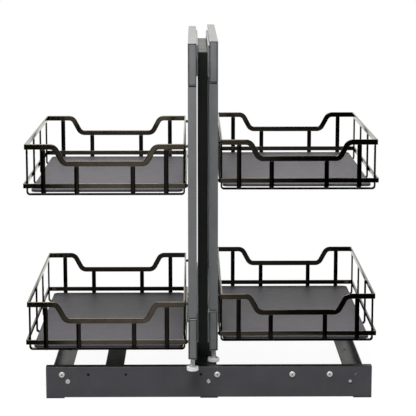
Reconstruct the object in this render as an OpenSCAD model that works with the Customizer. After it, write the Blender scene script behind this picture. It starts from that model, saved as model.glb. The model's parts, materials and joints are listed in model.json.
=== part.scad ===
// Pull-out organizer for a blind corner cabinet. A floor frame carries two sideways tracks.
// A carriage with a centre column rides on them, and two pull-out frames, each with two
// wire baskets, ride on runners at the top and bottom of the column.
// Millimetres. +X is right, +Y is to the back, +Z is up. The origin is the middle of the
// floor frame, on the floor. The left frame stands a little pulled out, as at rest.

/* [Floor frame] */
// Length of the front and rear rails
base_w = 556; // [545:1:700]
// Depth of the floor frame over both rails
base_d = 500; // [490:1:560]
// Depth of the fold along the rails' top
rail_fold = 13; // [8:1:15]
// Sheet thickness of the floor frame
base_t = 1.5; // [1.2:0.1:2]
// Width of the left and right cross rails
end_cross_w = 31; // [24:1:60]
// Width of the end cross rails' tabs behind the rails
end_tab_w = 44; // [36:1:60]
// Width of the centre cross rail
mid_cross_w = 30; // [26:1:32]
// Height of the cross rails' upturned edges
cross_lip = 18; // [10:1:40]
// Diameter of the floor screw holes
floor_hole_d = 5.5; // [4:0.1:8]
// Floor screw holes' distance from the ends of the rails
floor_hole_inset = 17; // [10:1:22]
// Corner floor holes' distance from the front and rear of the floor frame
floor_hole_end = 60; // [30:1:120]
// Spare floor hole's distance behind the middle
spare_hole_y = 45; // [-60:1:100]

/* [Sideways tracks] */
// Length of the tracks
track_len = 500; // [450:1:505]
// Height of the tracks
track_h = 24; // [24:1:46]
// Thickness of a closed track
track_t = 14; // [13:0.5:16]
// Gap between the cross rails' edges and the tracks
track_lift = 11.5; // [1:0.5:12]
// Gap between the tracks and the fold of the rails
track_drop = 0.5; // [0.5:0.5:4]
// Right end of the tracks, from the right end of the rails
track_inset = 37; // [20:1:40]
// Sideways travel of the carriage
carriage_travel = 300; // [200:1:320]
// First screw's distance from the right end of a track
track_screw_1 = 35; // [25:1:45]
// Second screw's distance from the right end of a track
track_screw_2 = 99; // [80:1:120]
// Third screw's distance from the right end of a track
track_screw_3 = 227; // [200:1:230]
// Last screw's distance from the left end of a track
track_screw_last = 8; // [6:1:12]

/* [Carriage and column] */
// Middle of the carriage at rest, from the middle of the floor frame
carriage_x = -10; // [-30:1:10]
// Width of the carriage rail under the column
carriage_rail_w = 40; // [34:1:60]
// Carriage rail's top above the floor frame's rails
carriage_over = 0.7; // [0.5:0.1:4]
// Outrigger rail's top below the carriage rail's
outrigger_drop = 5; // [2:0.5:8]
// Width of the outrigger rail
outrigger_w = 28; // [24:1:40]
// Outrigger rail's distance to the left of the column
outrigger_x = 154; // [100:1:180]
// Gap between the cross rails' edges and the carriage's rails
carriage_lift = 8; // [2:0.5:9]
// Sheet thickness of the carriage
carriage_t = 2; // [1.5:0.1:3]
// Width of the column
column_w = 16.5; // [12:0.5:24]
// Depth of the column
column_d = 340; // [280:1:380]
// Column's front, behind the front of the pushed-in frames
column_setback = 45; // [35:1:70]
// Depth of the column's uprights
upright_d = 30; // [20:1:40]
// Height of the column's top and bottom rails
column_rail_h = 27; // [20:1:40]
// Wall of the column's tubes
column_t = 1.5; // [1:0.1:2.5]

/* [Pull-out runners] */
// Length of the runners
runner_len = 400; // [350:1:410]
// Height of the runners
runner_h = 53; // [42:1:56]
// Thickness of a closed runner
runner_t = 15.5; // [15:0.5:20]
// Gap between the nuts of the feet and the front of the runners
runner_clear = 2; // [1:0.5:23]
// Travel of a pull-out frame from its pushed-in place
pull_travel = 390; // [250:1:395]
// How far the left frame is pulled out at rest
left_pulled = 54; // [0:1:80]
// Wall of the members of tracks and runners
member_t = 1.4; // [1.2:0.1:1.6]
// Gap between the webs and edges of neighbouring members
member_gap = 1; // [0.6:0.1:1.2]
// Diameter of the balls
ball_d = 2.4; // [2:0.1:3]
// Width of a ball row's strip
cage_w = 5; // [3.5:0.1:5]
// Thickness of a ball row's strip
cage_t = 1.2; // [0.8:0.1:1.6]
// Balls in a row
ball_count = 7; // [3:1:12]

/* [Pull-out frames] */
// Height of the frames' top
frame_top = 609; // [560:1:680]
// Pushed-in frames' front, behind the front of the floor frame
frame_front = 15; // [10:1:25]
// Width of arms and posts
arm_w = 14.5; // [12:0.5:17]
// Height of the top and bottom arms
arm_h = 70; // [60:1:90]
// Wall of arms and posts
arm_t = 1.5; // [1:0.1:2.5]
// Depth of the posts
post_d = 30; // [24:1:40]
// How far the baskets reach behind the middles of the rear posts
rear_overhang = 63; // [30:1:90]
// How far the arms reach behind the baskets
arm_tail = 50; // [20:1:80]
// Dark joint between a post and an arm
post_gap = 2; // [1:0.5:6]
// Length of a spigot inside its post
spigot_len = 25; // [15:1:40]

/* [Feet] */
// Diameter of the glide pads
pad_d = 20; // [16:0.5:22]
// Height of the glide pads
pad_h = 6; // [5:0.5:10]
// Radius of the pads' lower edge
pad_edge = 1; // [0.5:0.1:2]
// Stud showing between pad and arm
stud_show = 16.5; // [8:0.5:18]
// Diameter of the studs
stud_d = 8; // [6:0.5:9]
// Height of the nuts inside the bottom arms
nut_h = 8; // [5:0.5:10]
// Depth of the nuts
nut_d = 14; // [12:0.5:20]
// Stud above its nut
stud_over = 2; // [1:0.5:4]
// Depth of the socket in a pad
pad_socket = 4; // [3:0.5:4.5]

/* [Baskets] */
// Width of a basket's rim
rim_w = 266; // [240:0.5:320]
// Depth of a basket's rim
rim_d = 394; // [380:1:430]
// Height of a basket
basket_h = 90; // [80:0.5:120]
// Height of the flat bar of the rim
rim_bar_h = 9.2; // [6:0.1:12]
// How far the rim dips at the front and back
rim_dip = 28; // [20:1:34]
// Length of the high part of the rim at each end of the front and back
rim_high = 42.5; // [40:0.5:50]
// Radius of the bends in the rim
dip_bend_r = 12; // [8:0.5:14]
// Slope of the rim between its bends
dip_angle = 62; // [45:1:75]
// Thickness of the flat bars
bar_t = 3; // [2:0.1:4]
// Width of the straps
strap_w = 7.8; // [5:0.1:10]
// Outer radius of the straps' bends
strap_bend_r = 6; // [5:0.5:10]
// Inner front-to-back straps, from the ends of the low part of the rim
strap_in_inset = 14.5; // [5:0.5:25]
// Outer front-to-back straps, from the ends of the rim
strap_out_inset = 31; // [10:0.5:35]
// First side-to-side strap, from the front of the basket
strap_first = 28; // [20:1:60]
// Height of the front-to-back straps above the side-to-side ones
strap_rise = 5.5; // [3:0.1:8]
// Height of the flat bar of the band
band_h = 7.8; // [5:0.1:10]
// Height of the band's lower edge above the basket's bottom
band_z = 15.5; // [9:0.5:20]
// Thickness of the boards
board_t = 4; // [3:0.5:12]
// Corner radius of the boards
board_r = 10; // [4:1:20]
// Gap between a post and the rim of its basket
basket_gap = 5; // [4:0.5:10]
// How far a basket laps over its front post
basket_lap = 10; // [8:0.5:15]
// Height of the lower baskets' bottoms
lower_basket_z = 83.5; // [65:0.5:100]
// Height between lower and upper baskets
basket_pitch = 267.5; // [220:0.5:300]
// Diameter of the pegs that carry the baskets
peg_d = 5; // [3:0.1:5]

/* [Fasteners and clearances] */
// Diameter of the screw shanks
screw_d = 4; // [3:0.1:4.5]
// Diameter of the screw heads
screw_head_d = 10; // [7:0.1:12]
// Height of the screw heads
screw_head_h = 2.2; // [1.5:0.1:3]
// Diameter of the rivet shanks
rivet_d = 4.8; // [3:0.1:5]
// Diameter of the rivet heads
rivet_head_d = 8; // [6:0.1:9]
// Height of the rivet heads
rivet_head_h = 1.4; // [1:0.1:2]
// Rivets' distance below the tracks' centre line
rivet_drop = 12; // [10:0.5:12]
// Rivets' distance from the inner edges of the end cross rails
rivet_inset = 7; // [4:0.5:10]
// Clearance all round a screw or rivet in its hole
hole_clear = 0.4; // [0.1:0.05:0.6]
// Clearance all round a ball, a stud or a spigot
fit_clear = 0.05; // [0.02:0.01:0.1]
// Gap under a foot over the carriage rail
foot_lift = 0.3; // [0.2:0.1:1]
// Clearance between a board and the straps' bends
board_clear = 0.5; // [0.3:0.1:2]

/* [Hidden] */
$fn = 48;
eps = 0.01;
// Cross recess of a screw: its length and its slot's width, as shares of the head
recess_share = 0.55;
slot_share = 0.12;
// Straight steps in one bend of a rim
bend_steps = 8;
// Length of a cutter that goes right through a sheet
cut_len = 20;
left = -1;
right = 1;

base_front = -base_d / 2;
floor_hole_y = base_d / 2 - floor_hole_end;
track_z = cross_lip + track_lift + track_h / 2;
track_end = base_w / 2 - track_inset;
rail_top = track_z + track_h / 2 + track_drop + base_t;
track_face = base_front + 2 * base_t;
rail_x = [for (s = [track_screw_1, track_screw_2, track_screw_3, track_len - track_screw_last])
    track_end - s];
rivet_x = base_w / 2 - end_tab_w + rivet_inset;
rivet_z = track_z - rivet_drop;
tab_top = track_z + track_h / 2;
mid_tab_w = mid_cross_w * 2 / 3;

carriage_len = base_d - 4 * base_t - 2 * track_t;
carriage_top = rail_top + carriage_over;
carriage_bottom = cross_lip + carriage_lift;
outrigger_top = carriage_top - outrigger_drop;
frame_y = base_front + frame_front;
column_y = frame_y + column_setback;
runner_y = frame_y + post_d / 2 + nut_d / 2 + runner_clear;
basket_front = post_d - basket_lap;
frame_d = basket_front + rim_d + arm_tail;
post_pitch = basket_front + rim_d - rear_overhang - post_d / 2;
arm_out = column_w / 2 + runner_t + arm_t;
arm_in = arm_out - arm_w;
post_x = arm_out - arm_w / 2;
pad_z = carriage_top + foot_lift;
arm_z = pad_z + pad_h + stud_show;
low_runner_z = arm_z + arm_h / 2;
high_runner_z = frame_top - arm_h / 2;
runner_heights = [low_runner_z, high_runner_z];
post_z = arm_z + arm_h;
post_len = frame_top - arm_h - post_z;
post_places = [post_d / 2, post_d / 2 + post_pitch];
spigot_w = arm_w - 2 * arm_t - 2 * fit_clear;
spigot_d = post_d - 2 * arm_t - 2 * fit_clear;
nut_w = arm_w - arm_t;

ball_gap = ball_d + 2 * fit_clear;
basket_x = arm_out + basket_gap + rim_w / 2;
band_w = rim_w + 2 * bar_t;
band_d = rim_d - 2 * bar_t;
board_gap = strap_bend_r - bar_t + board_clear;
board_w = rim_w - 2 * bar_t - 2 * board_gap;
// A board is pushed up to the straps on its posts' side
board_shift = board_gap - board_clear;
board_d = band_d - 2 * bar_t - 2 * board_clear;
rim_mid = basket_h - rim_bar_h / 2;
rim_low = rim_mid - rim_dip;
dip_run = 2 * dip_bend_r * sin(dip_angle)
    + (rim_dip - 2 * dip_bend_r * (1 - cos(dip_angle))) / tan(dip_angle);
dip_half = rim_w / 2 - rim_high - dip_run;
strap_in = dip_half - strap_in_inset;
strap_out = rim_w / 2 - strap_out_inset;
strap_step = (rim_d - 2 * strap_first) / 3;
basket_heights = [lower_basket_z, lower_basket_z + basket_pitch];
peg_y = post_d - (basket_lap - bar_t) / 2;

grey_paint = "dimgray";
dark_paint = "#47464a";
black_paint = "#1c1c1c";
black_nickel = "#303030";
steel = "silver";
board_grey = "#757478";
nylon = "whitesmoke";

// Places: the front and the mirrored rear of the floor frame
module front_and_rear() {
    children();
    mirror([0, 1, 0]) children();
}

// Places: one side of the column, with +X away from the column
module on_column(side) {
    translate([carriage_x, 0, 0])
        if (side == left) mirror([1, 0, 0]) children();
        else children();
}

// Places: one pull-out frame, with y = 0 at the front of its arms
module on_frame(side) {
    pulled = side == left ? left_pulled : 0;
    on_column(side) translate([0, frame_y - pulled, 0]) children();
}

// Places: one basket, from the middle of its bottom
module on_basket(side, level) {
    on_frame(side)
        translate([basket_x, basket_front + rim_d / 2, basket_heights[level]]) children();
}

// Places: a track's own frame, with y from its right end to the left and x into the cabinet
module on_front_track(shift = 0) {
    translate([track_end + shift, track_face, track_z]) rotate([0, 0, 90]) children();
}

// Places: a runner's own frame on one side of the column, moved forward by a share of the pull
module on_runner(side, share) {
    pulled = side == left ? left_pulled : 0;
    for (z = runner_heights)
        on_column(side) translate([column_w / 2, runner_y - share * pulled, z]) children();
}

// Shape: a box between two corners
module box(a, b) {
    translate(a) cube(b - a);
}

// Shape: a rectangle with round corners, about its middle
module round_rect(w, d, r) {
    square([w - 2 * r, d], center = true);
    square([w, d - 2 * r], center = true);
    for (x = [-1, 1], y = [-1, 1])
        translate([x * (w / 2 - r), y * (d / 2 - r)]) circle(r);
}

// Shape: a square tube standing on z = 0
module tube(w, d, h, wall) {
    difference() {
        translate([-w / 2, -d / 2, 0]) cube([w, d, h]);
        translate([-w / 2 + wall, -d / 2 + wall, -1]) cube([w - 2 * wall, d - 2 * wall, h + 2]);
    }
}

// Shape: a slide member's channel, with its web at web_x and its flanges from edge_x to web_x
module channel(len, half, web_x, edge_x) {
    far = web_x < edge_x ? edge_x : web_x + member_t;
    near = web_x < edge_x ? web_x : edge_x;
    box([web_x, 0, -half], [web_x + member_t, len, half]);
    box([near, 0, half - member_t], [far, len, half]);
    box([near, 0, -half], [far, len, member_t - half]);
}

module outer_member(len, h, t) {
    channel(len, h / 2, 0, t - member_t - 2 * member_gap);
}

module middle_member(len, h, t) {
    half = h / 2 - member_t - ball_gap;
    channel(len, half, member_t + member_gap, t - member_t - member_gap);
}

module inner_member(len, h, t) {
    half = h / 2 - 2 * member_t - 2 * ball_gap;
    channel(len, half, t - member_t, 2 * member_t + 2 * member_gap);
}

// Shape: one strip with its balls, from y = 0
module ball_row(len) {
    step = len / ball_count;
    translate([-cage_w / 2, 0, -cage_t / 2]) cube([cage_w, len, cage_t]);
    for (i = [0 : ball_count - 1]) translate([0, (i + 0.5) * step, 0]) sphere(d = ball_d);
}

// Four rows: the outer ones at the rear half of the middle member, the inner ones at its front
module ball_rows(len, h, t, travel) {
    row = len - travel / 2 - 2 * member_gap;
    outer_half = h / 2 - member_t - ball_gap / 2;
    inner_half = outer_half - member_t - ball_gap;
    outer_x = (t - member_gap) / 2;
    inner_x = (t + member_t + member_gap) / 2;
    for (s = [-1, 1]) {
        translate([outer_x, len - row - member_gap, s * outer_half]) ball_row(row);
        translate([inner_x, member_gap, s * inner_half]) ball_row(row);
    }
}

// Holes along the front rail, for screws and for the other hand
module rail_holes(places, z, d) {
    for (x = places) translate([x, base_front - 1, z]) rotate([-90, 0, 0]) cylinder(d = d, h = cut_len);
}

module all_rail_holes() {
    rail_holes(concat(rail_x, -rail_x), track_z, screw_d + 2 * hole_clear);
    rail_holes([-rivet_x, 0, rivet_x], rivet_z, rivet_d + 2 * hole_clear);
}

module rail() {
    half = base_w / 2;
    color(dark_paint) difference() {
        union() {
            box([-half, base_front, base_t], [half, base_front + base_t, rail_top]);
            box([-half, base_front, rail_top - base_t], [half, base_front + rail_fold, rail_top]);
        }
        all_rail_holes();
    }
}

module front_rail() { rail(); }

module rear_rail() { mirror([0, 1, 0]) rail(); }

// A cross rail from x0 to x1, with end tabs behind the rails and lips along the given edges
module cross_rail(x0, x1, tab0, tab1, lips) {
    lip_end = -track_face;
    color(dark_paint) difference() {
        union() {
            box([x0, base_front, 0], [x1, -base_front, base_t]);
            front_and_rear() {
                box([max(tab0, x0), base_front + base_t, 0], [min(tab1, x1), track_face, tab_top]);
                box([tab0, base_front + base_t, base_t], [tab1, track_face, tab_top]);
            }
            for (x = lips) box([x, -lip_end, 0], [x + base_t, lip_end, cross_lip]);
        }
        front_and_rear() all_rail_holes();
        for (s = [-1, 1], y = [-floor_hole_y, spare_hole_y, floor_hole_y])
            translate([s * (base_w / 2 - floor_hole_inset), y, -1]) cylinder(d = floor_hole_d, h = cut_len);
    }
}

module right_cross_rail() {
    end = base_w / 2;
    cross_rail(end - end_cross_w, end, end - end_tab_w, end, [end - base_t]);
}

module left_cross_rail() { mirror([1, 0, 0]) right_cross_rail(); }

module centre_cross_rail() {
    half = mid_cross_w / 2;
    cross_rail(-half, half, -mid_tab_w / 2, mid_tab_w / 2, [-half, half - base_t]);
}

module track_outers() {
    color(steel) front_and_rear() difference() {
        on_front_track() outer_member(track_len, track_h, track_t);
        rail_holes(rail_x, track_z, screw_d + 2 * hole_clear);
    }
}

module track_middles() {
    color(steel) front_and_rear() on_front_track() middle_member(track_len, track_h, track_t);
}

module track_ball_rows() {
    color(steel) front_and_rear()
        on_front_track() ball_rows(track_len, track_h, track_t, carriage_travel);
}

// Places of the screws between the carriage's rails and the tracks' inner members
module carriage_screw_places() {
    for (x = [carriage_rail_w / 4, -carriage_rail_w / 4])
        translate([carriage_x + x, 0, 0]) children();
    for (x = [outrigger_w / 4, -outrigger_w / 4])
        translate([carriage_x - outrigger_x + x, 0, 0]) children();
}

module carriage_screw_holes() {
    front_and_rear() carriage_screw_places()
        translate([0, -carriage_len / 2 - member_t - 1, track_z])
            rotate([-90, 0, 0]) cylinder(d = screw_d + 2 * hole_clear, h = member_t + carriage_t + 2);
}

module track_inners() {
    color(steel) difference() {
        front_and_rear() on_front_track() inner_member(track_len, track_h, track_t);
        carriage_screw_holes();
    }
}

// A pan-head screw with a cross recess: the head lies at z < 0, the shank reaches z = len
module pan_screw(len) {
    recess = screw_head_d * recess_share;
    slot = screw_head_d * slot_share;
    difference() {
        union() {
            translate([0, 0, -screw_head_h]) cylinder(d = screw_head_d, h = screw_head_h);
            translate([0, 0, -eps]) cylinder(d = screw_d, h = len + eps);
        }
        for (turn = [0, 90]) rotate([0, 0, turn])
            translate([-recess / 2, -slot / 2, -screw_head_h - 1])
                cube([recess, slot, 1 + screw_head_h / 2]);
    }
}

module rail_screws() {
    len = 2 * base_t + member_t + member_gap / 2;
    color(steel) front_and_rear() for (x = rail_x)
        translate([x, base_front, track_z]) rotate([-90, 0, 0]) pan_screw(len);
}

module rail_rivets() {
    cap_r = (pow(rivet_head_d / 2, 2) + pow(rivet_head_h, 2)) / (2 * rivet_head_h);
    color(steel) front_and_rear() for (x = [-rivet_x, 0, rivet_x])
        translate([x, base_front, rivet_z]) rotate([-90, 0, 0]) union() {
            cylinder(d = rivet_d, h = 2 * base_t);
            intersection() {
                translate([0, 0, cap_r - rivet_head_h]) sphere(cap_r);
                translate([0, 0, -rivet_head_h]) cylinder(d = rivet_head_d + 1, h = rivet_head_h);
            }
        }
}

// A carriage rail: a channel open below, with closed ends that meet the tracks
module beam(x, w, top) {
    color(black_paint) difference() {
        box([x - w / 2, -carriage_len / 2, carriage_bottom], [x + w / 2, carriage_len / 2, top]);
        box([x - w / 2 + carriage_t, carriage_t - carriage_len / 2, carriage_bottom - 1],
            [x + w / 2 - carriage_t, carriage_len / 2 - carriage_t, top - carriage_t]);
        carriage_screw_holes();
    }
}

module carriage_rail() { beam(carriage_x, carriage_rail_w, carriage_top); }

module outrigger_rail() { beam(carriage_x - outrigger_x, outrigger_w, outrigger_top); }

module carriage_screws() {
    color(steel) front_and_rear() carriage_screw_places()
        translate([0, carriage_t - carriage_len / 2, track_z])
            rotate([90, 0, 0]) pan_screw(carriage_t + member_t + 1);
}

module column_upright(y) {
    color(black_paint) translate([carriage_x, y + upright_d / 2, carriage_top])
        tube(column_w, upright_d, high_runner_z - column_rail_h / 2 - carriage_top, column_t);
}

module column_front_upright() { column_upright(column_y); }

module column_rear_upright() { column_upright(column_y + column_d - upright_d); }

// The top rail is open below and lies on the uprights
module column_top_rail() {
    half = column_w / 2;
    bottom = high_runner_z - column_rail_h / 2;
    color(black_paint) translate([carriage_x, column_y, bottom]) difference() {
        box([-half, 0, 0], [half, column_d, column_rail_h]);
        box([column_t - half, upright_d, -1],
            [half - column_t, column_d - upright_d, column_rail_h - column_t]);
    }
}

module column_bottom_rail() {
    len = column_d - 2 * upright_d;
    color(black_paint) translate([carriage_x, column_y + upright_d, low_runner_z])
        rotate([-90, 0, 0]) tube(column_w, column_rail_h, len, column_t);
}

module runner_outers(side) {
    color(steel) on_runner(side, 0) outer_member(runner_len, runner_h, runner_t);
}

module runner_middles(side) {
    color(steel) on_runner(side, 0.5) middle_member(runner_len, runner_h, runner_t);
}

module runner_ball_rows(side) {
    color(steel) on_runner(side, 0.5) ball_rows(runner_len, runner_h, runner_t, pull_travel);
}

module runner_inners(side) {
    color(steel) on_runner(side, 1) inner_member(runner_len, runner_h, runner_t);
}

// An arm is a channel, open towards the column and at its rear end, with a closed front
module arm() {
    difference() {
        box([arm_in, 0, 0], [arm_out, frame_d, arm_h]);
        box([arm_in - 1, arm_t, arm_t], [arm_out - arm_t, frame_d + 1, arm_h - arm_t]);
    }
}

module top_arm(side) {
    color(grey_paint) on_frame(side) translate([0, 0, frame_top - arm_h]) arm();
}

module bottom_arm(side) {
    color(grey_paint) on_frame(side) translate([0, 0, arm_z]) difference() {
        arm();
        translate([post_x, post_d / 2, -1]) cylinder(d = stud_d + 2 * hole_clear, h = arm_t + 2);
    }
}

module post(side, place) {
    color(grey_paint) on_frame(side) translate([post_x, post_places[place], post_z + post_gap])
        tube(arm_w, post_d, post_len - 2 * post_gap, arm_t);
}

module post_spigots(side) {
    len = spigot_len + post_gap;
    color(black_paint) on_frame(side)
        for (y = post_places, z = [post_z, post_z + post_len - len])
            translate([post_x - spigot_w / 2, y - spigot_d / 2, z]) cube([spigot_w, spigot_d, len]);
}

module foot_nut(side) {
    color(steel) on_frame(side) difference() {
        translate([arm_in, post_d / 2 - nut_d / 2, arm_z + arm_t]) cube([nut_w, nut_d, nut_h]);
        translate([post_x, post_d / 2, arm_z]) cylinder(d = stud_d + 2 * fit_clear, h = nut_h + 9);
    }
}

module foot_stud(side) {
    foot = pad_z + pad_h - pad_socket;
    len = pad_socket + stud_show + arm_t + nut_h + stud_over;
    color(steel) on_frame(side) translate([post_x, post_d / 2, foot]) cylinder(d = stud_d, h = len);
}

module foot_pad(side) {
    r = pad_d / 2;
    socket_r = stud_d / 2 + fit_clear;
    color(nylon) on_frame(side) translate([post_x, post_d / 2, pad_z]) difference() {
        rotate_extrude() union() {
            translate([0, pad_edge]) square([r, pad_h - pad_edge]);
            square([r - pad_edge, pad_h]);
            translate([r - pad_edge, pad_edge]) circle(pad_edge);
        }
        translate([0, 0, pad_h - pad_socket]) cylinder(r = socket_r, h = pad_h);
    }
}

// One edge of the dipped rim, at a distance from its middle line, from left to right
function dip_arc(cx, cz, r, from, to) =
    [for (i = [0 : bend_steps]) let (a = from + (to - from) * i / bend_steps)
        [cx + r * cos(a), cz + r * sin(a)]];
function left_half(e) = concat(
    [[-rim_w / 2, rim_mid + e]],
    dip_arc(-dip_half - dip_run, rim_mid - dip_bend_r, dip_bend_r + e, 90, 90 - dip_angle),
    dip_arc(-dip_half, rim_low + dip_bend_r, dip_bend_r - e, 270 - dip_angle, 270));
function rim_edge(e) = let (half = left_half(e), n = len(half) - 1)
    concat(half, [for (i = [n : -1 : 0]) [-half[i][0], half[i][1]]]);
function reversed(list) = [for (i = [len(list) - 1 : -1 : 0]) list[i]];

module rim(side, level) {
    outline = concat(rim_edge(rim_bar_h / 2), reversed(rim_edge(-rim_bar_h / 2)));
    color(black_nickel) on_basket(side, level) union() {
        for (y = [bar_t - rim_d / 2, rim_d / 2])
            translate([0, y, 0]) rotate([90, 0, 0]) linear_extrude(bar_t) polygon(outline);
        for (x = [-rim_w / 2, rim_w / 2 - bar_t])
            box([x, -rim_d / 2, basket_h - rim_bar_h], [x + bar_t, rim_d / 2, basket_h]);
    }
}

module band(side, level) {
    color(black_nickel) on_basket(side, level) translate([0, 0, band_z]) linear_extrude(band_h)
        difference() {
            round_rect(band_w, band_d, bar_t);
            square([band_w - 2 * bar_t, band_d - 2 * bar_t], center = true);
        }
}

// A strap bent into a U, span wide and up to a height, lying in the XZ plane
module strap(span, height) {
    inner_r = strap_bend_r - bar_t;
    rotate([90, 0, 0]) translate([0, 0, -strap_w / 2]) linear_extrude(strap_w) difference() {
        cup(span, height, strap_bend_r);
        translate([0, bar_t]) cup(span - 2 * bar_t, height, inner_r);
    }
}

module cup(span, height, r) {
    translate([-span / 2, r]) square([span, height - r]);
    translate([r - span / 2, 0]) square([span - 2 * r, r + eps]);
    for (s = [-1, 1]) translate([s * (span / 2 - r), r]) circle(r);
}

module straps(side, level) {
    high = basket_h - rim_bar_h;
    low = high - rim_dip;
    color(black_nickel) on_basket(side, level) {
        for (s = [-1, 1]) {
            translate([s * strap_out, 0, strap_rise]) rotate([0, 0, 90])
                strap(rim_d, high - strap_rise);
            translate([s * strap_in, 0, strap_rise]) rotate([0, 0, 90]) strap(rim_d, low - strap_rise);
        }
        for (i = [0 : 3])
            translate([0, strap_first - rim_d / 2 + i * strap_step, 0]) strap(rim_w, high);
    }
}

module board(side, level) {
    color(board_grey) on_basket(side, level)
        translate([-board_shift, 0, strap_rise + bar_t]) linear_extrude(board_t)
            round_rect(board_w, board_d, board_r);
}

// Pegs from the posts to the rims and bands of both baskets
module basket_pegs(side) {
    color(black_paint) on_frame(side) for (z = basket_heights, y = [peg_y, peg_y + post_pitch]) {
        translate([arm_out, y, z + rim_mid]) rotate([0, 90, 0]) cylinder(d = peg_d, h = basket_gap);
        translate([arm_out, y, z + band_z + band_h / 2])
            rotate([0, 90, 0]) cylinder(d = peg_d, h = basket_gap - bar_t);
    }
}

front_rail();
rear_rail();
left_cross_rail();
centre_cross_rail();
right_cross_rail();
track_outers();
rail_screws();
rail_rivets();
track_middles();
track_ball_rows();
track_inners();
carriage_rail();
outrigger_rail();
carriage_screws();
column_front_upright();
column_rear_upright();
column_top_rail();
column_bottom_rail();
runner_outers(left);  // left_runner_outers
runner_middles(left);  // left_runner_middles
runner_ball_rows(left);  // left_ball_rows
runner_inners(left);  // left_runner_inners
top_arm(left);  // left_top_arm
bottom_arm(left);  // left_bottom_arm
post(left, 0);  // left_front_post
post(left, 1);  // left_rear_post
post_spigots(left);  // left_post_spigots
foot_nut(left);  // left_foot_nut
foot_stud(left);  // left_foot_stud
foot_pad(left);  // left_foot_pad
rim(left, 1);  // left_upper_rim
band(left, 1);  // left_upper_band
straps(left, 1);  // left_upper_straps
board(left, 1);  // left_upper_board
rim(left, 0);  // left_lower_rim
band(left, 0);  // left_lower_band
straps(left, 0);  // left_lower_straps
board(left, 0);  // left_lower_board
basket_pegs(left);  // left_basket_pegs
runner_outers(right);  // right_runner_outers
runner_middles(right);  // right_runner_middles
runner_ball_rows(right);  // right_ball_rows
runner_inners(right);  // right_runner_inners
top_arm(right);  // right_top_arm
bottom_arm(right);  // right_bottom_arm
post(right, 0);  // right_front_post
post(right, 1);  // right_rear_post
post_spigots(right);  // right_post_spigots
foot_nut(right);  // right_foot_nut
foot_stud(right);  // right_foot_stud
foot_pad(right);  // right_foot_pad
rim(right, 1);  // right_upper_rim
band(right, 1);  // right_upper_band
straps(right, 1);  // right_upper_straps
board(right, 1);  // right_upper_board
rim(right, 0);  // right_lower_rim
band(right, 0);  // right_lower_band
straps(right, 0);  // right_lower_straps
board(right, 0);  // right_lower_board
basket_pegs(right);  // right_basket_pegs
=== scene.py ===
import bpy
import json
from math import hypot, pi, radians
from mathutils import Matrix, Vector

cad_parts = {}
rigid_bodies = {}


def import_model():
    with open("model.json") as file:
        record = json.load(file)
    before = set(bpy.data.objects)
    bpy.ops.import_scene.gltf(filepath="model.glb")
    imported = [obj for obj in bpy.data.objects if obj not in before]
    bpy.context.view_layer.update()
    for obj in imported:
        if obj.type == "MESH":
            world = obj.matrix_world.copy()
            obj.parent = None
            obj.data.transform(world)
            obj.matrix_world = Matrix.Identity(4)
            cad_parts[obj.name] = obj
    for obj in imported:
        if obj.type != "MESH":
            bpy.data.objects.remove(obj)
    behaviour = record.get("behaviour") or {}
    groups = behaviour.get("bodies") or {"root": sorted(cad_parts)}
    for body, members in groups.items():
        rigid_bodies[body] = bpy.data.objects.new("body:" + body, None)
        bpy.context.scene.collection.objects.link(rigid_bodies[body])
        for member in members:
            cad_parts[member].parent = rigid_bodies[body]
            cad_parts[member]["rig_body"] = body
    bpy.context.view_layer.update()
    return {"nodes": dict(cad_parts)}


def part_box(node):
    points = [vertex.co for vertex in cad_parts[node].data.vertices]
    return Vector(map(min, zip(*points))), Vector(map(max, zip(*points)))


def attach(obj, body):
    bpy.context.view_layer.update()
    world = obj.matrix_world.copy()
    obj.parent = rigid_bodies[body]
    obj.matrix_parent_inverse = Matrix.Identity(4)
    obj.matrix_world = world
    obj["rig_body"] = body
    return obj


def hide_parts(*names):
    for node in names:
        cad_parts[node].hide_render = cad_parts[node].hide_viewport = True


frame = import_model()
MM = 0.001

# Finishes, from sRGB hex colours

PATCH_LOW, PATCH_HIGH = 0.3, 0.7  # where most of a noise pattern's values lie


def linear(hex_colour):
    """An sRGB hex colour as linear RGBA."""
    parts = [int(hex_colour[i:i + 2], 16) / 255 for i in (1, 3, 5)]
    return [c / 12.92 if c <= 0.04045 else ((c + 0.055) / 1.055) ** 2.4 for c in parts] + [1.0]


def per_metre(mm):
    """A pattern's scale from the size of one patch in millimetres."""
    return 1000.0 / mm


def add(tree, kind, values=None, links=None, **settings):
    """Adds a node, with its settings, its socket values and the links into it."""
    made = tree.nodes.new(kind)
    for name, value in settings.items():
        setattr(made, name, value)
    for name, value in (values or {}).items():
        made.inputs[name].default_value = value
    for name, socket in (links or {}).items():
        tree.links.new(socket, made.inputs[name])
    return made


def new_finish(name):
    """An empty material, with its node tree and the piece's own coordinates in metres."""
    finish = bpy.data.materials.new(name)
    finish.use_nodes = True
    tree = finish.node_tree
    tree.nodes.clear()
    return finish, tree, add(tree, "ShaderNodeTexCoord").outputs["Object"]


def close_finish(tree, shader):
    """Links the finished shader to the material's output."""
    add(tree, "ShaderNodeOutputMaterial", links={"Surface": shader.outputs["BSDF"]})


def tone(tree, place, size_mm, low, high):
    """Soft patches between two colours, about size_mm across."""
    patches = add(tree, "ShaderNodeTexNoise", {"Scale": per_metre(size_mm), "Detail": 3.0},
                  {"Vector": place})
    ramp = add(tree, "ShaderNodeValToRGB", links={"Fac": patches.outputs["Fac"]})
    dark, light = ramp.color_ramp.elements
    dark.position, dark.color = PATCH_LOW, linear(low)
    light.position, light.color = PATCH_HIGH, linear(high)
    return ramp.outputs["Color"]


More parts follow.
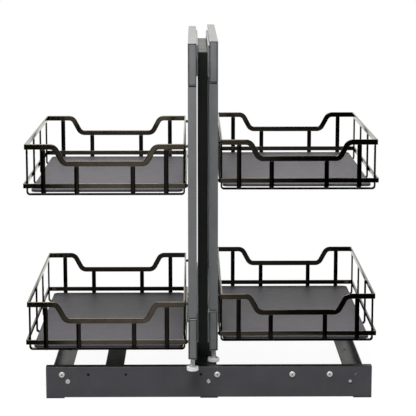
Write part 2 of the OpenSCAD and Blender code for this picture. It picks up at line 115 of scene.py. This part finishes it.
def gloss_range(tree, place, size_mm, low, high):
    """A roughness that drifts between two values in patches about size_mm across."""
    patches = add(tree, "ShaderNodeTexNoise", {"Scale": per_metre(size_mm), "Detail": 2.0},
                  {"Vector": place})
    return add(tree, "ShaderNodeMapRange",
               {"From Min": PATCH_LOW, "From Max": PATCH_HIGH, "To Min": low, "To Max": high},
               {"Value": patches.outputs["Fac"]}).outputs["Result"]


def powder_coat(name, low, high, rough, coat):
    """Baked powder over sheet steel: a satin skin with a fine orange peel and faint uneven tone."""
    finish, tree, place = new_finish(name)
    # the real peel is about 1 mm; 2.4 mm is drawn so that it shows in the render
    peel = add(tree, "ShaderNodeTexNoise", {"Scale": per_metre(2.4), "Detail": 1.5},
               {"Vector": place})
    bump = add(tree, "ShaderNodeBump", {"Strength": 0.12, "Distance": 0.2 * MM},
               {"Height": peel.outputs["Fac"]})
    close_finish(tree, add(
        tree, "ShaderNodeBsdfPrincipled",
        {"Coat Weight": coat, "Coat Roughness": 0.2},
        {"Base Color": tone(tree, place, size_mm=34, low=low, high=high),
         "Roughness": gloss_range(tree, place, size_mm=18, low=rough - 0.04, high=rough + 0.05),
         "Normal": bump.outputs["Normal"]}))
    return finish


def black_nickel_plate(name, low, high):
    """Black nickel on drawn flat wire: a dark warm mirror, near black head on, bright at a glance."""
    finish, tree, place = new_finish(name)
    # the wire's faint unevenness, really 0.3 mm; 1.6 mm is drawn so that it shows
    uneven = add(tree, "ShaderNodeTexNoise", {"Scale": per_metre(1.6), "Detail": 2.0},
                 {"Vector": place})
    bump = add(tree, "ShaderNodeBump", {"Strength": 0.03, "Distance": 0.2 * MM},
               {"Height": uneven.outputs["Fac"]})
    close_finish(tree, add(
        tree, "ShaderNodeBsdfPrincipled", {"Metallic": 1.0},
        {"Base Color": tone(tree, place, size_mm=26, low=low, high=high),
         "Roughness": gloss_range(tree, place, size_mm=12, low=0.06, high=0.10),
         "Normal": bump.outputs["Normal"]}))
    return finish


def melamine_board():
    """Melamine-faced board: a grey printed paper under resin, with a faint grain from front to back."""
    finish, tree, place = new_finish("grey_melamine_board")
    # streaks 3 mm wide and about 50 mm long
    along = add(tree, "ShaderNodeMapping", {"Scale": (1.0, 0.06, 1.0)}, {"Vector": place})
    grain = add(tree, "ShaderNodeTexNoise", {"Scale": per_metre(3.0), "Detail": 4.0},
                {"Vector": along.outputs["Vector"]})
    streaks = add(tree, "ShaderNodeValToRGB", links={"Fac": grain.outputs["Fac"]})
    dark, light = streaks.color_ramp.elements
    dark.position, dark.color = 0.25, linear("#4a474f")
    light.position, light.color = 0.75, linear("#514e57")
    bump = add(tree, "ShaderNodeBump", {"Strength": 0.05, "Distance": 0.2 * MM},
               {"Height": grain.outputs["Fac"]})
    close_finish(tree, add(
        tree, "ShaderNodeBsdfPrincipled", {},
        {"Base Color": streaks.outputs["Color"],
         "Roughness": gloss_range(tree, place, size_mm=20, low=0.49, high=0.53),
         "Normal": bump.outputs["Normal"]}))
    return finish


def plated_steel(name, low, high, rough, spangle_mm, metal=1.0):
    """Plated steel: soft spangles and a slightly uneven shine; a dull film makes it less than metal."""
    finish, tree, place = new_finish(name)
    spangle = add(tree, "ShaderNodeTexVoronoi", {"Scale": per_metre(spangle_mm)}, {"Vector": place})
    bump = add(tree, "ShaderNodeBump", {"Strength": 0.015, "Distance": 0.2 * MM},
               {"Height": spangle.outputs["Distance"]})
    close_finish(tree, add(
        tree, "ShaderNodeBsdfPrincipled", {"Metallic": metal},
        {"Base Color": tone(tree, place, size_mm=7, low=low, high=high),
         "Roughness": gloss_range(tree, place, size_mm=5, low=rough - 0.06, high=rough + 0.06),
         "Normal": bump.outputs["Normal"]}))
    return finish


def moulded(name, low, high, rough):
    """Injection-moulded plastic: an even colour with a fine spark-eroded grain from the mould."""
    finish, tree, place = new_finish(name)
    # the mould's grain is about 0.2 mm; 0.7 mm is drawn so that it shows
    grain = add(tree, "ShaderNodeTexNoise", {"Scale": per_metre(0.7), "Detail": 2.0},
                {"Vector": place})
    bump = add(tree, "ShaderNodeBump", {"Strength": 0.1, "Distance": 0.1 * MM},
               {"Height": grain.outputs["Fac"]})
    close_finish(tree, add(
        tree, "ShaderNodeBsdfPrincipled", {},
        {"Base Color": tone(tree, place, size_mm=9, low=low, high=high),
         "Roughness": gloss_range(tree, place, size_mm=6, low=rough - 0.04, high=rough + 0.04),
         "Normal": bump.outputs["Normal"]}))
    return finish


FINISHES = {
    "base_paint": powder_coat("graphite_powder_coat", "#48474c", "#4f4e53", 0.44, 0.12),
    "black_paint": powder_coat("black_powder_coat", "#090a0a", "#0f1010", 0.36, 0.0),
    "frame_paint": powder_coat("grey_powder_coat", "#6d6f71", "#757779", 0.36, 0.38),
    "black_nickel": black_nickel_plate("black_nickel_plate", "#4a453e", "#575048"),
    # painted shade: the straps take a darker copy of the black nickel, for the darker reflections of
    # their rounded fronts
    "strap_nickel_shaded": black_nickel_plate("black_nickel_plate_shaded_on_straps", "#1f1d1b", "#292622"),
    "board": melamine_board(),
    "black_plastic": moulded("black_nylon", "#262626", "#2e2e2e", 0.42),
    "runner_steel": plated_steel("zinc_plated_runner_steel", "#c4c6c6", "#d2d4d4", 0.42, 4.0, 0.5),
    "track_steel": plated_steel("black_zinc_track_steel", "#2e3031", "#3a3c3d", 0.42, 4.0),
    "ball_steel": plated_steel("bright_ball_steel", "#b2b4b4", "#c0c2c2", 0.16, 3.0),
    "zinc": plated_steel("bright_zinc", "#f2f0e8", "#faf8f2", 0.34, 2.0, 0.35),
    "stud_zinc": plated_steel("plain_zinc_on_studs", "#dcdee0", "#e8eaec", 0.40, 2.0, 0.2),
    "rivet": plated_steel("dull_rivet_alloy", "#d0cfca", "#dcdbd6", 0.46, 2.0, 0.3),
    "nylon": moulded("white_nylon", "#fafaf8", "#fefefc", 0.40),
}

# Shaping

MERGE = 0.01 * MM  # points closer than this are one point
FLAT_ANGLE = radians(0.5)  # faces that differ by less are one flat face
EDGE_ANGLE, SMOOTH_ANGLE = radians(34), radians(40)  # edges to round, and edges to shade as one
FOLD_STEPS = 4
SEAM_RIM, SEAM_WIDE, SEAM_DEEP = 0.15 * MM, 1.0 * MM, 1.0 * MM


def alone(piece):
    """Selects one piece and nothing else."""
    bpy.ops.object.select_all(action="DESELECT")
    piece.select_set(True)
    bpy.context.view_layer.objects.active = piece


def apply_modifier(piece, kind, **settings):
    """Adds a modifier with its settings and applies it."""
    modifier = piece.modifiers.new(kind.lower(), kind)
    for name, value in settings.items():
        setattr(modifier, name, value)
    alone(piece)
    bpy.ops.object.modifier_apply(modifier=modifier.name)


def finish_piece(piece, node, slot, finish=None):
    """Dresses a finished piece, and puts it in the node's place on the node's body."""
    if not piece.data.materials:
        piece.data.materials.append(None)
    piece.data.materials[0] = FINISHES[finish or slot]
    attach(piece, frame["nodes"][node]["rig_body"])
    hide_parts(node)


def mark_folds(piece, node, sides):
    """Marks the outer corners where two of the named sides of a node's box meet."""
    low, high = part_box(node)
    planes = {"left": (0, low.x), "right": (0, high.x), "front": (1, low.y), "rear": (1, high.y),
              "bottom": (2, low.z), "top": (2, high.z)}
    weights = piece.data.attributes.new("bevel_weight_edge", "FLOAT", "EDGE")
    for edge in piece.data.edges:
        ends = [piece.data.vertices[i].co for i in edge.vertices]
        met = 0
        for axis, level in (planes[side] for side in sides):
            met += all(abs(end[axis] - level) < 2 * MERGE for end in ends)
        weights.data[edge.index].value = 1.0 if met > 1 else 0.0


def select_faces(piece, wanted):
    """Selects the faces that a test on their middle and normal picks, and enters edit mode."""
    alone(piece)
    for vertex in piece.data.vertices:
        vertex.select = False
    for edge in piece.data.edges:
        edge.select = False
    for face in piece.data.polygons:
        face.select = wanted(face.center, face.normal)
    bpy.ops.object.mode_set(mode="EDIT")
    bpy.ops.mesh.select_mode(type="FACE")


def recoat(piece, finish, wanted):
    """Gives a second finish to the faces that a test on their middle and normal picks."""
    piece.data.materials.append(FINISHES[finish])
    for face in piece.data.polygons:
        if wanted(face.center, face.normal):
            face.material_index = len(piece.data.materials) - 1


def end_cap_seam(piece):
    """A dark seam around the cap in the front end of an arm."""
    front = min(vertex.co.y for vertex in piece.data.vertices)
    select_faces(piece, lambda middle, normal: normal.y < -0.99 and middle.y < front + MERGE)
    bpy.ops.mesh.inset(thickness=SEAM_RIM)
    bpy.ops.mesh.inset(thickness=SEAM_WIDE, use_select_inset=True)
    bpy.ops.mesh.extrude_region_move(TRANSFORM_OT_translate={"value": (0, SEAM_DEEP, 0)})
    bpy.ops.mesh.select_more()
    piece.data.materials.append(FINISHES["black_plastic"])
    piece.active_material_index = 1
    bpy.ops.object.material_slot_assign()
    bpy.ops.object.mode_set(mode="OBJECT")


def rounded_copy(node, slot, width_mm, segments=2, finish=None, folds=(), fold_mm=1.3, detail=None):
    """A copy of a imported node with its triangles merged, its folds rolled and its edges rounded."""
    source = frame["nodes"][node]
    piece = bpy.data.objects.new(node + "_finished", source.data.copy())
    bpy.context.scene.collection.objects.link(piece)
    alone(piece)
    bpy.ops.object.mode_set(mode="EDIT")
    bpy.ops.mesh.select_all(action="SELECT")
    bpy.ops.mesh.remove_doubles(threshold=MERGE)
    bpy.ops.mesh.dissolve_limited(angle_limit=FLAT_ANGLE)
    bpy.ops.object.mode_set(mode="OBJECT")
    if folds:
        mark_folds(piece, node, folds)
        apply_modifier(piece, "BEVEL", width=fold_mm * MM, segments=FOLD_STEPS, limit_method="WEIGHT",
                       use_clamp_overlap=True)
        piece.data.attributes.remove(piece.data.attributes["bevel_weight_edge"])
    if width_mm:
        apply_modifier(piece, "BEVEL", width=width_mm * MM, segments=segments, limit_method="ANGLE",
                       angle_limit=EDGE_ANGLE, use_clamp_overlap=True)
    if detail:
        detail(piece)
    alone(piece)
    bpy.ops.object.shade_smooth_by_angle(angle=SMOOTH_ANGLE)
    apply_modifier(piece, "WEIGHTED_NORMAL", mode="FACE_AREA", weight=50, keep_sharp=True)
    finish_piece(piece, node, slot, finish)
    return piece


# Rounded edges in millimetres, by the tool, the paint and the rolls
RAIL_EDGE, RAIL_FOLD = 0.4, 1.8
CARRIAGE_EDGE = 0.45
SHEET_EDGE = 0.3
SMALL_EDGE = 0.25
BAR_EDGE, BAR_STEPS = 1.1, 4
BOARD_EDGE = 0.8
NO_EDGE = 0

# Floor frame, carriage and column: folded sheet
for node in ("front_rail", "rear_rail", "left_cross_rail", "centre_cross_rail", "right_cross_rail"):
    around = {"front_rail": ("front", "top", "bottom"), "rear_rail": ("rear", "top", "bottom")}
    piece = rounded_copy(node, "base_paint", RAIL_EDGE, folds=around.get(node, ()), fold_mm=RAIL_FOLD)
    if node in around:
        # painted shade: the top of the fold takes near-black paint, for the shade and dark reflection
        # it lies in
        fold_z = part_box(node)[1].z - RAIL_FOLD * MM
        recoat(piece, "black_paint", lambda middle, normal: normal.z > 0.3 and middle.z > fold_z)
for node in ("carriage_rail", "outrigger_rail", "column_bottom_rail"):
    rounded_copy(node, "black_paint", CARRIAGE_EDGE)
for node in ("column_front_upright", "column_rear_upright", "column_top_rail"):
    around = ("left", "right", "front", "rear") + (("top",) if "top" in node else ())
    rounded_copy(node, "black_paint", SHEET_EDGE, folds=around)
rounded_copy("carriage_screws", "zinc", SMALL_EDGE)

# Sideways tracks
for node in ("track_outers", "track_middles", "track_inners"):
    rounded_copy(node, "runner_steel", SHEET_EDGE, finish="track_steel")
rounded_copy("track_ball_rows", "ball_steel", NO_EDGE)

for side in ("left", "right"):
    # Pull-out frame: arms and posts of folded sheet, with dark joints between them
    for node in ("top_arm", "bottom_arm", "front_post", "rear_post"):
        around, detail = ("left", "right", "front", "rear"), None
        if "arm" in node:
            around, detail = (side, "front", "top", "bottom"), end_cap_seam
        rounded_copy(side + "_" + node, "frame_paint", SHEET_EDGE, folds=around, detail=detail)
    rounded_copy(side + "_post_spigots", "black_plastic", SHEET_EDGE)
    rounded_copy(side + "_basket_pegs", "black_plastic", SHEET_EDGE)
    # Runners
    for node in ("runner_outers", "runner_middles", "runner_inners"):
        rounded_copy(side + "_" + node, "runner_steel", SHEET_EDGE)
    rounded_copy(side + "_ball_rows", "ball_steel", NO_EDGE)
    rounded_copy(side + "_foot_nut", "zinc", SHEET_EDGE)
    rounded_copy(side + "_foot_pad", "nylon", SHEET_EDGE)
    # Baskets: flat bars with rolled edges, on a board
    for level in ("upper", "lower"):
        for node in ("rim", "band", "straps"):
            # the straps take the darker copy of the black nickel, a painted shade
            rounded_copy(side + "_" + level + "_" + node, "black_nickel", BAR_EDGE, BAR_STEPS,
                         finish="strap_nickel_shaded" if node == "straps" else None)
        rounded_copy(side + "_" + level + "_board", "board", BOARD_EDGE)

# Threaded studs of the feet: M8, one turn each 1.25 mm
PITCH = 1.25 * MM
THREAD_DEEP = 0.6 * PITCH
THREAD_STEPS = 28
THREAD_ANGLE = radians(30)


def threaded_stud(node):
    """A thread turned round the stud's axis from one flank, and closed at both ends."""
    low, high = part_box(node)
    centre, radius = (low + high) / 2, (high.x - low.x) / 2
    turns = int((high.z - low.z) / PITCH) - 1
    bpy.ops.object.select_all(action="DESELECT")
    bpy.ops.mesh.primitive_circle_add(vertices=3, radius=radius, location=(0, 0, 0))
    piece = bpy.context.object
    piece.name = node + "_thread"
    core = radius - THREAD_DEEP
    flank = [(core, 0.0), (radius, PITCH / 2), (core, PITCH)]
    for vertex, (r, z) in zip(piece.data.vertices, flank):
        vertex.co = (r, 0, z)
    for vertex in piece.data.vertices:
        vertex.select = False
    for edge in piece.data.edges:
        edge.select = set(edge.vertices) == {0, 2}
    bpy.ops.object.mode_set(mode="EDIT")
    bpy.ops.mesh.select_mode(type="EDGE")
    bpy.ops.mesh.delete(type="EDGE")
    bpy.ops.object.mode_set(mode="OBJECT")
    apply_modifier(piece, "SCREW", axis="Z", angle=2 * pi, steps=THREAD_STEPS,
                   render_steps=THREAD_STEPS, screw_offset=PITCH, iterations=turns,
                   use_merge_vertices=True, merge_threshold=MERGE, use_normal_calculate=True)
    bpy.ops.object.mode_set(mode="EDIT")
    bpy.ops.mesh.select_all(action="SELECT")
    bpy.ops.mesh.remove_doubles(threshold=MERGE)
    bpy.ops.mesh.fill_holes(sides=0)
    bpy.ops.mesh.normals_make_consistent(inside=False)
    bpy.ops.object.mode_set(mode="OBJECT")
    piece.location = (centre.x, centre.y, low.z)
    alone(piece)
    bpy.ops.object.transform_apply(location=True, rotation=True, scale=True)
    bpy.ops.object.shade_smooth_by_angle(angle=THREAD_ANGLE)
    finish_piece(piece, node, "zinc", "stud_zinc")


for side in ("left", "right"):
    threaded_stud(side + "_foot_stud")

# Screws and rivets of the rails, each modelled once and copied; sizes in millimetres

SCREW_R, SCREW_HIGH = 5.0, 2.2
RIVET_R, RIVET_HIGH = 4.0, 1.4
DOME = 0.8  # the share of a head's height that is domed
BLADE_OVER, BLADE_TAPER = 1.0, 0.6  # how far a blade stands over the head, and its narrower foot
HEAD_ANGLE = radians(35)
FIRST_TURN, NEXT_TURN = 20, 34  # degrees by which the copies are turned, so that no two look alike


def pan_head(radius_mm, height_mm, shank_mm, length_mm):
    """A domed head that points to +Z, with its shank below."""
    bpy.ops.object.select_all(action="DESELECT")
    bpy.ops.mesh.primitive_cylinder_add(vertices=36, radius=radius_mm * MM, depth=height_mm * MM,
                                        location=(0, 0, height_mm / 2 * MM))
    piece = bpy.context.object
    bpy.ops.object.transform_apply(location=True, rotation=True, scale=True)
    select_faces(piece, lambda middle, normal: normal.z < -0.9)
    bpy.ops.mesh.inset(thickness=(radius_mm - shank_mm) * MM)
    bpy.ops.mesh.extrude_region_move(TRANSFORM_OT_translate={"value": (0, 0, -length_mm * MM)})
    bpy.ops.object.mode_set(mode="OBJECT")
    select_faces(piece, lambda middle, normal: normal.z > 0.9 and middle.z > height_mm / 2 * MM)
    bpy.ops.mesh.bevel(offset=height_mm * DOME * MM, segments=5, profile=0.5, affect="EDGES")
    bpy.ops.object.mode_set(mode="OBJECT")
    return piece


def cross_recess(piece, top_mm, long_mm, slot_mm, deep_mm):
    """Cuts a cross into a head with two tapered blades."""
    for turn in (0, pi / 2):
        bpy.ops.object.select_all(action="DESELECT")
        middle_mm = top_mm + BLADE_OVER / 2 - deep_mm / 2
        bpy.ops.mesh.primitive_cube_add(size=1, location=(0, 0, middle_mm * MM))
        blade = bpy.context.object
        blade.scale = (long_mm * MM, slot_mm * MM, (deep_mm + BLADE_OVER) * MM)
        blade.rotation_euler = (0, 0, turn)
        bpy.ops.object.transform_apply(location=True, rotation=True, scale=True)
        select_faces(blade, lambda middle, normal: normal.z < -0.9)
        bpy.ops.transform.resize(value=(BLADE_TAPER, BLADE_TAPER, 1.0))
        bpy.ops.object.mode_set(mode="OBJECT")
        apply_modifier(piece, "BOOLEAN", object=blade, operation="DIFFERENCE", solver="EXACT")
        bpy.data.objects.remove(blade)


def copies_on_rails(master, node, finish, places):
    """Copies of a head on the front and rear rails, joined to one piece that stands for the node."""
    made = []
    low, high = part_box(node)
    half_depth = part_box("rear_rail")[1].y
    for facing in (-1, 1):
        for x in places:
            one = bpy.data.objects.new(node + "_copy", master.data.copy())
            bpy.context.scene.collection.objects.link(one)
            one.rotation_euler = (radians(-90 * facing), 0, 0)
            one.rotation_euler.rotate_axis("Z", radians(FIRST_TURN + NEXT_TURN * len(made)))
            one.location = (x, facing * half_depth, (low.z + high.z) / 2)
            made.append(one)
    bpy.data.objects.remove(master)
    bpy.ops.object.select_all(action="DESELECT")
    for one in made:
        one.select_set(True)
    bpy.context.view_layer.objects.active = made[0]
    bpy.ops.object.transform_apply(location=True, rotation=True, scale=True)
    bpy.ops.object.join()
    piece = bpy.context.object
    piece.name = node + "_finished"
    bpy.ops.object.shade_smooth_by_angle(angle=HEAD_ANGLE)
    finish_piece(piece, node, "zinc", finish)
    return piece


screw = pan_head(SCREW_R, SCREW_HIGH, shank_mm=2.0, length_mm=4.5)
cross_recess(screw, SCREW_HIGH, long_mm=5.6, slot_mm=1.2, deep_mm=1.5)
low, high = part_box("rail_screws")
screw_z = (low.z + high.z) / 2
# holes of the 32 mm system, from the right end of a track, and one at its left end
right_x, left_x = high.x - SCREW_R * MM, low.x + SCREW_R * MM
screw_x = (right_x, right_x - 64 * MM, right_x - 192 * MM, left_x)
screws = copies_on_rails(screw, "rail_screws", "zinc", screw_x)
rail_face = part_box("rear_rail")[1].y
RECESS_R = 3.2 * MM
RECESS_LOW, RECESS_HIGH = 0.05 * MM, 2.1 * MM  # from the rail's face


def in_recess(middle, normal):
    """Tells whether a face lies in the cross of a screw, below the top of its head."""
    reach = min(hypot(middle.x - x, middle.z - screw_z) for x in screw_x)
    return RECESS_LOW < abs(middle.y) - rail_face < RECESS_HIGH and reach < RECESS_R


# painted shade: the faces down in each cross take the dark track steel, for the shade in the recess
recoat(screws, "track_steel", in_recess)

rivet = pan_head(RIVET_R, RIVET_HIGH, shank_mm=2.35, length_mm=3.5)
DISH = 0.5 * MM  # the rim and the depth of the hollow in a rivet's head
select_faces(rivet, lambda middle, normal: normal.z > 0.98 and middle.z > (RIVET_HIGH - 0.1) * MM)
bpy.ops.mesh.inset(thickness=DISH)
bpy.ops.mesh.extrude_region_move(TRANSFORM_OT_translate={"value": (0, 0, -DISH)})
bpy.ops.object.mode_set(mode="OBJECT")
low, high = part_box("rail_rivets")
rivet_z = (low.z + high.z) / 2
left_x, right_x = low.x + RIVET_R * MM, high.x - RIVET_R * MM
rivets = copies_on_rails(rivet, "rail_rivets", "rivet", (left_x, 0, right_x))
# the right-hand rivets are painted over, and only their punched middles are bare
BARE_R = 2.2 * MM
recoat(rivets, "base_paint", lambda middle, normal: middle.x > 0 and
       hypot(middle.x - right_x, middle.z - rivet_z) > BARE_R)

# Floor, light and camera

FLOOR_R = 0.62
FLOOR_SHADE, FLOOR_GLOW = 0.09, 0.945  # to the eye: the part that takes a shadow, and the rest
ROOM_SOFT = 0.24  # the room's even light
CARD, ROOM_DIM = 0.72, 0.015  # what gloss sees on the camera's side: a pale card, and the room


def studio_floor():
    """A pale floor: white to the eye, with the object's soft shadow, and grey to what it lights."""
    bpy.ops.object.select_all(action="DESELECT")
    bpy.ops.mesh.primitive_circle_add(vertices=96, radius=FLOOR_R, fill_type="NGON",
                                      location=(0, 0, 0))
    floor = bpy.context.object
    floor.name = "floor"
    finish, tree = new_finish("pale_floor")[:2]
    ray = add(tree, "ShaderNodeLightPath")
    matt = add(tree, "ShaderNodeBsdfDiffuse", {"Color": linear("#a0a0a0")})
    shade = add(tree, "ShaderNodeBsdfDiffuse", {"Color": (FLOOR_SHADE, FLOOR_SHADE, FLOOR_SHADE, 1)})
    glow = add(tree, "ShaderNodeEmission", {"Color": (1, 1, 1, 1), "Strength": FLOOR_GLOW})
    white = add(tree, "ShaderNodeAddShader", links={0: shade.outputs[0], 1: glow.outputs[0]})
    pick = add(tree, "ShaderNodeMixShader",
               links={0: ray.outputs["Is Camera Ray"], 1: matt.outputs[0], 2: white.outputs[0]})
    add(tree, "ShaderNodeOutputMaterial", links={"Surface": pick.outputs[0]})
    floor.data.materials.append(finish)


def studio_world():
    """White to the eye; to metal and paint, white behind the object and dim on the camera's side."""
    world = bpy.data.worlds.new("studio")
    bpy.context.scene.world = world
    world.use_nodes = True
    tree = world.node_tree
    tree.nodes.clear()
    ray = add(tree, "ShaderNodeLightPath")
    way = add(tree, "ShaderNodeSeparateXYZ",
              links={"Vector": add(tree, "ShaderNodeTexCoord").outputs["Generated"]})
    # a pale card stands left of the camera and fades to its right, and the room beside it is dim
    edge = add(tree, "ShaderNodeMapRange", {"From Min": -0.095, "From Max": -0.075},
               {"Value": way.outputs["X"]}, interpolation_type="SMOOTHSTEP")
    fade = add(tree, "ShaderNodeMapRange",
               {"From Min": -0.02, "From Max": 0.062, "To Min": CARD, "To Max": 0.0},
               {"Value": way.outputs["X"]})
    card = add(tree, "ShaderNodeMath", {2: ROOM_DIM},
               {0: edge.outputs["Result"], 1: fade.outputs["Result"]}, operation="MULTIPLY_ADD")
    front = add(tree, "ShaderNodeMapRange",
                {"From Min": 0.3, "From Max": 0.8, "To Max": 1.0},
                {"Value": way.outputs["Y"], "To Min": card.outputs[0]},
                interpolation_type="SMOOTHSTEP")
    mirror = add(tree, "ShaderNodeBackground", {"Color": (1.0, 1.0, 0.94, 1)},
                 {"Strength": front.outputs["Result"]})
    soft = add(tree, "ShaderNodeBackground", {"Color": (1, 1, 1, 1), "Strength": ROOM_SOFT})
    eye = add(tree, "ShaderNodeBackground", {"Color": (1, 1, 1, 1), "Strength": 1.0})
    gloss = add(tree, "ShaderNodeMath",
                links={0: ray.outputs["Is Glossy Ray"], 1: ray.outputs["Is Transmission Ray"]},
                operation="MAXIMUM")
    light = add(tree, "ShaderNodeMixShader",
                links={0: gloss.outputs[0], 1: soft.outputs[0], 2: mirror.outputs[0]})
    room = add(tree, "ShaderNodeMixShader",
               links={0: ray.outputs["Is Camera Ray"], 1: light.outputs[0], 2: eye.outputs[0]})
    add(tree, "ShaderNodeOutputWorld", links={"Surface": room.outputs[0]})


def soft_box(name, place, aim, size, watts, mirrored=True):
    """A large soft lamp that points at a place on the object, and may stay out of reflections."""
    lamp = bpy.data.lights.new(name, "AREA")
    lamp.shape, lamp.size, lamp.energy = "SQUARE", size, watts
    holder = bpy.data.objects.new(name, lamp)
    bpy.context.scene.collection.objects.link(holder)
    holder.visible_glossy = mirrored
    holder.location = place
    holder.rotation_euler = (Vector(aim) - Vector(place)).to_track_quat("-Z", "Y").to_euler()


studio_floor()
studio_world()
soft_box("front_lamp", (-0.28, -1.15, 1.72), aim=(0, -0.15, 0.45), size=1.0, watts=32)
soft_box("top_lamp", (0.0, 0.3, 2.6), aim=(0, 0, 0.3), size=1.8, watts=9)
soft_box("rear_lamp", (0.5, 1.6, 0.9), aim=(0, 0.15, 0.35), size=1.0, watts=12, mirrored=False)
soft_box("left_lamp", (-1.8, 0.1, 0.4), aim=(0, 0.1, 0.3), size=1.0, watts=12, mirrored=False)
soft_box("right_lamp", (1.8, 0.1, 0.4), aim=(0, 0.1, 0.3), size=1.0, watts=12, mirrored=False)

# the camera, fitted to points of the photograph: its tilt and turn in degrees
TILT_DOWN, TURN_RIGHT = 8.81, 0.556
lens = bpy.data.cameras.new("photo_camera")
lens.sensor_width, lens.lens = 36.0, 129.07
lens.shift_y = -0.10
camera = bpy.data.objects.new("photo_camera", lens)
bpy.context.scene.collection.objects.link(camera)
camera.location = (-0.0257, -2.7102, 0.782)
camera.rotation_euler = (radians(90 - TILT_DOWN), 0, radians(-TURN_RIGHT))
bpy.context.scene.camera = camera

bpy.context.scene.view_settings.view_transform = "Standard"

bpy.context.view_layer.update()
